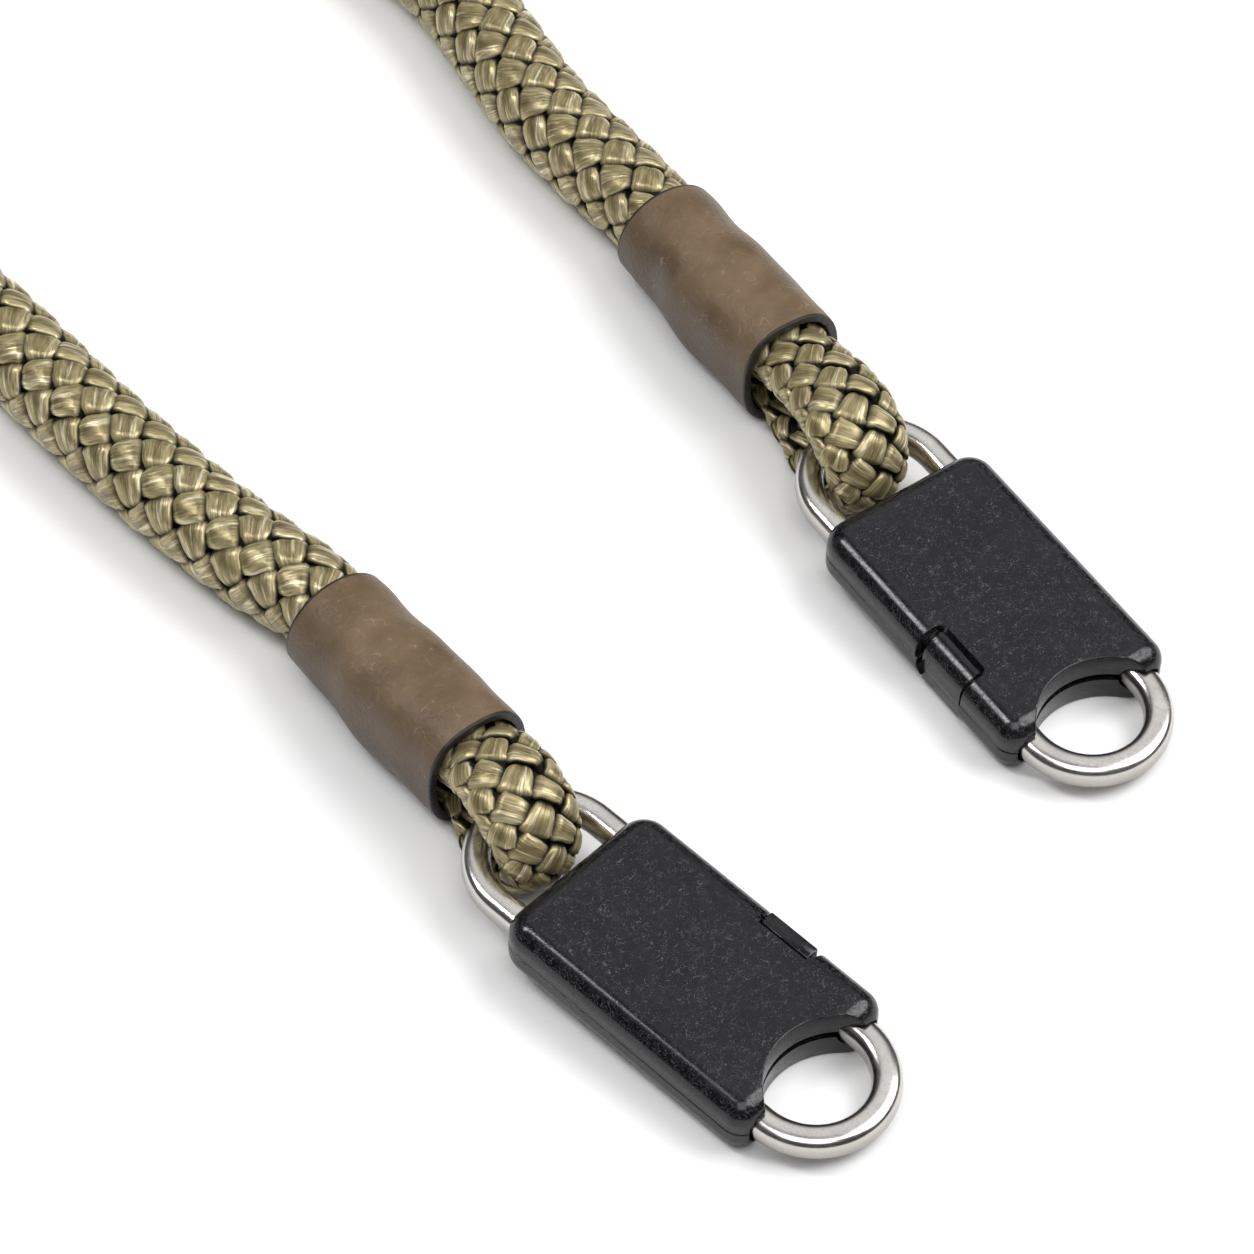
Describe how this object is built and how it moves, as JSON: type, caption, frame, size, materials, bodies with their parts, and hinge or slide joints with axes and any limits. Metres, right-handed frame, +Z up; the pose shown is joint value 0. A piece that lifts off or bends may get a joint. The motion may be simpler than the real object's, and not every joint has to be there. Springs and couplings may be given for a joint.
{
  "type": "camera sling strap",
  "caption": "Braided rope camera strap lying as one long loop; each end is an eye in a leather sleeve, holding an oval steel ring clasped by a two-shell snap housing.",
  "frame": {"origin": "on the surface the strap lies on, below the middle of the footprint of its end fittings (sleeves, rings and housings)", "axes": "+Z up from the surface; -Y towards the tips of the two clips; +Y along the rope towards the far bend; +X to the right, from clip a to clip b"},
  "size_m": [0.1032, 0.4765, 0.0168],
  "materials": {
    "rope": "satin olive braid of flat strands",
    "leather": "smooth satin brown, burnished dark edges",
    "steel": "satin stainless wire",
    "plastic": "fine grained charcoal"
  },
  "bodies": {
    "root": {"rope": "rope", "rope_eye_a": "rope", "rope_eye_b": "rope", "sleeve_a": "leather", "sleeve_b": "leather", "ring_a": "steel", "ring_b": "steel", "tab_shell_a": "plastic", "notch_shell_a": "plastic", "tab_shell_b": "plastic", "notch_shell_b": "plastic"}
  },
  "joints": []
}
